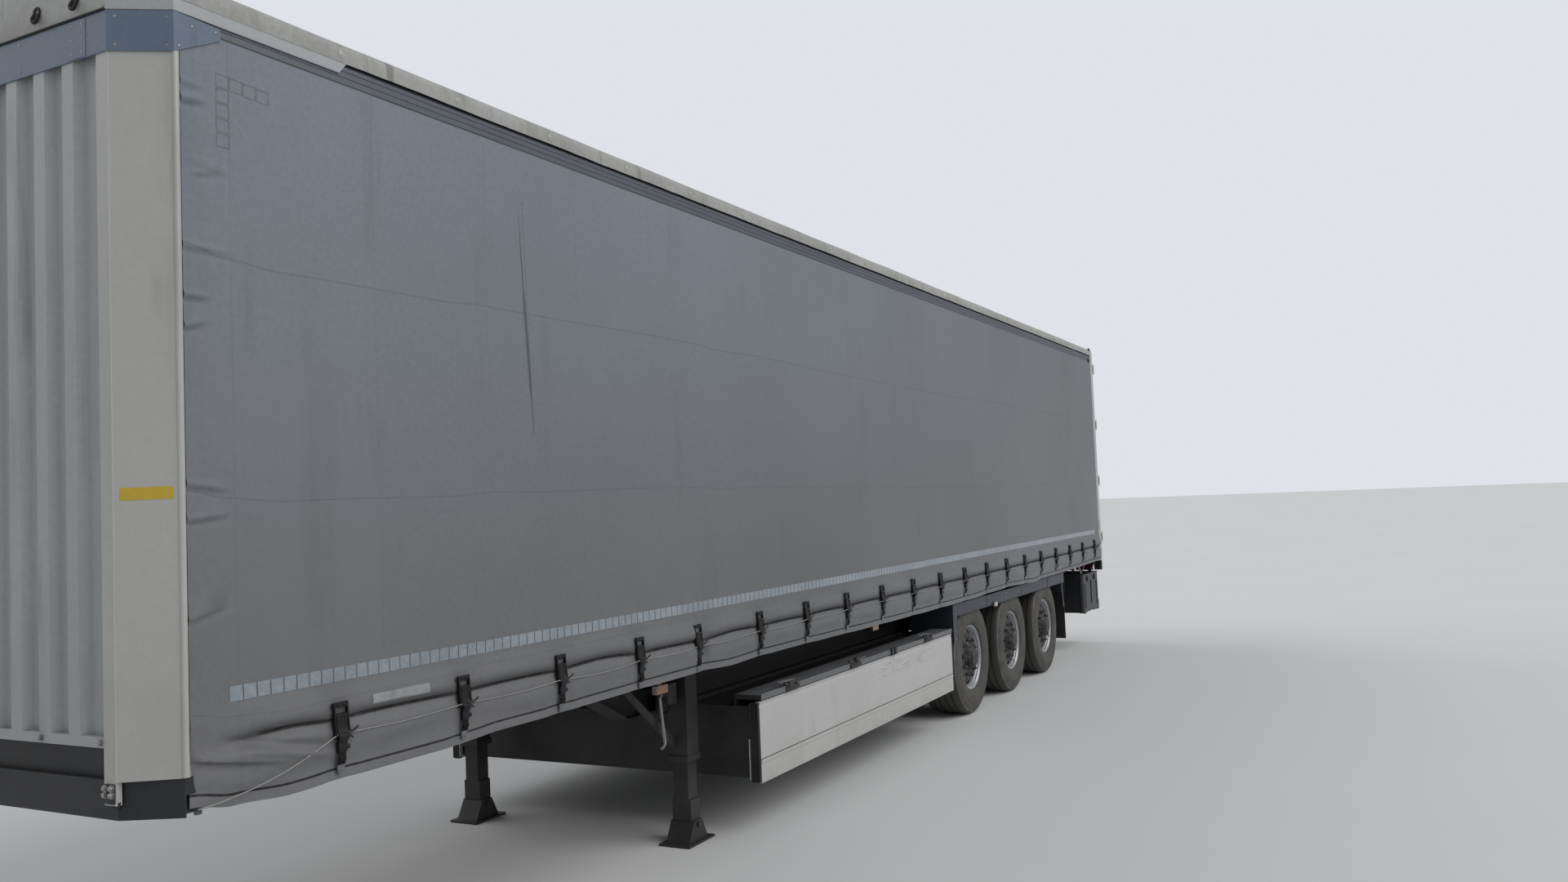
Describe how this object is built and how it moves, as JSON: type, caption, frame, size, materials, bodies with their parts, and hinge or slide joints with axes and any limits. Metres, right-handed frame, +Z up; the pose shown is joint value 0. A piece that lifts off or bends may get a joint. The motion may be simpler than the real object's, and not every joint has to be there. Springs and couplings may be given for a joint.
{
  "type": "curtain-sided semi trailer",
  "caption": "Curtain-sided semi trailer on a low-neck beam chassis, with air-sprung wide single wheels, rear doors, side pallet box and landing legs.",
  "frame": {"origin": "on the ground, under the middle of the whole trailer", "axes": "+X to the front, +Y to the left side, +Z up"},
  "size_m": [13.86, 2.61, 4],
  "materials": {
    "chassis_paint": "dark grey chassis paint, dusty",
    "deck_wood": "coated plywood deck",
    "bare_steel": "greased machined steel",
    "body_paint": "cream white body paint",
    "header_paint": "blue grey bent plate",
    "rail_aluminium": "grooved dark aluminium",
    "roof_sheet": "dirty white roof sheet",
    "curtain_sheet": "grey coated curtain cloth",
    "buckle_black": "black tensioners and straps",
    "door_paint": "white door panels",
    "zinc_steel": "zinc plated steel",
    "black_rubber": "black rubber",
    "black_plastic": "black moulded plastic",
    "cast_brake": "cast iron with surface rust",
    "leg_paint": "dark leg paint, worn",
    "flap_paint": "off-white flap, scuffed",
    "guard_plastic": "blue black plastic",
    "tank_paint": "black tank paint",
    "lamp_red": "red lamp lens",
    "lamp_amber": "amber marker lens",
    "tyre": "dusty tyre rubber",
    "rim_silver": "silver rim paint"
  },
  "bodies": {
    "chassis": {"air_springs": "black_rubber", "air_tanks": "tank_paint", "arm_clamps": "zinc_steel", "axles": "chassis_paint", "brakes": "cast_brake", "coupling_plate": "chassis_paint", "cross_members": "chassis_paint", "curtain_left": "curtain_sheet", "curtain_right": "curtain_sheet", "curtain_straps": "buckle_black", "dampers": "black_plastic", "dock_buffers": "black_rubber", "front_header": "header_paint", "front_posts": "body_paint", "front_wall": "body_paint", "guard_stays": "chassis_paint", "hangers": "chassis_paint", "kingpin": "bare_steel", "leg_braces": "leg_paint", "leg_feet": "leg_paint", "leg_tubes": "leg_paint", "load_floor": "deck_wood", "main_beams": "chassis_paint", "mud_flaps": "black_rubber", "mudguards": "guard_plastic", "pallet_box": "chassis_paint", "pallet_latches": "zinc_steel", "rear_frame": "body_paint", "roof_bows": "rail_aluminium", "roof_cover": "roof_sheet", "roof_rails": "rail_aluminium", "service_panel": "black_plastic", "side_lamps": "lamp_amber", "side_posts": "rail_aluminium", "side_rails": "chassis_paint", "side_slats": "rail_aluminium", "tail_lamps": "lamp_red", "tool_box": "black_plastic", "trailing_arms": "chassis_paint", "underrun_bar": "chassis_paint"},
    "wheel_1_left": {"tyre_1_left": "tyre", "rim_1_left": "rim_silver"},
    "wheel_1_right": {"tyre_1_right": "tyre", "rim_1_right": "rim_silver"},
    "wheel_2_left": {"tyre_2_left": "tyre", "rim_2_left": "rim_silver"},
    "wheel_2_right": {"tyre_2_right": "tyre", "rim_2_right": "rim_silver"},
    "wheel_3_left": {"tyre_3_left": "tyre", "rim_3_left": "rim_silver"},
    "wheel_3_right": {"tyre_3_right": "tyre", "rim_3_right": "rim_silver"},
    "door_left": {"door_left": "door_paint", "door_left_gear": "zinc_steel"},
    "door_right": {"door_right": "door_paint", "door_right_gear": "zinc_steel"},
    "pallet_flap_left": {"pallet_flap_left": "flap_paint"},
    "pallet_flap_right": {"pallet_flap_right": "flap_paint"},
    "tool_box_lid": {"tool_box_lid": "black_plastic"}
  },
  "joints": [
    {"name": "spin_1_left", "type": "hinge", "parent": "chassis", "child": "wheel_1_left", "pos_m": [-1.44, 1.02, 0.52], "axis": [0, 1, 0], "continuous": true},
    {"name": "spin_1_right", "type": "hinge", "parent": "chassis", "child": "wheel_1_right", "pos_m": [-1.44, -1.02, 0.52], "axis": [0, 1, 0], "continuous": true},
    {"name": "spin_2_left", "type": "hinge", "parent": "chassis", "child": "wheel_2_left", "pos_m": [-2.75, 1.02, 0.52], "axis": [0, 1, 0], "continuous": true},
    {"name": "spin_2_right", "type": "hinge", "parent": "chassis", "child": "wheel_2_right", "pos_m": [-2.75, -1.02, 0.52], "axis": [0, 1, 0], "continuous": true},
    {"name": "spin_3_left", "type": "hinge", "parent": "chassis", "child": "wheel_3_left", "pos_m": [-4.06, 1.02, 0.52], "axis": [0, 1, 0], "continuous": true},
    {"name": "spin_3_right", "type": "hinge", "parent": "chassis", "child": "wheel_3_right", "pos_m": [-4.06, -1.02, 0.52], "axis": [0, 1, 0], "continuous": true},
    {"name": "door_left_swing", "type": "hinge", "parent": "chassis", "child": "door_left", "pos_m": [-6.914, 1.261, 2.5], "axis": [0, 0, -1], "range_deg": [0, 265]},
    {"name": "pallet_flap_left_swing", "type": "hinge", "parent": "chassis", "child": "pallet_flap_left", "pos_m": [1.05, 1.201, 0.34], "axis": [-1, 0, 0], "range_deg": [0, 90]},
    {"name": "door_right_swing", "type": "hinge", "parent": "chassis", "child": "door_right", "pos_m": [-6.914, -1.261, 2.5], "axis": [0, 0, 1], "range_deg": [0, 265]},
    {"name": "pallet_flap_right_swing", "type": "hinge", "parent": "chassis", "child": "pallet_flap_right", "pos_m": [1.05, -1.201, 0.34], "axis": [1, 0, 0], "range_deg": [0, 90]},
    {"name": "tool_lid_swing", "type": "hinge", "parent": "chassis", "child": "tool_box_lid", "pos_m": [-6.365, 1.18, 0.458], "axis": [-1, 0, 0], "range_deg": [0, 95]}
  ]
}
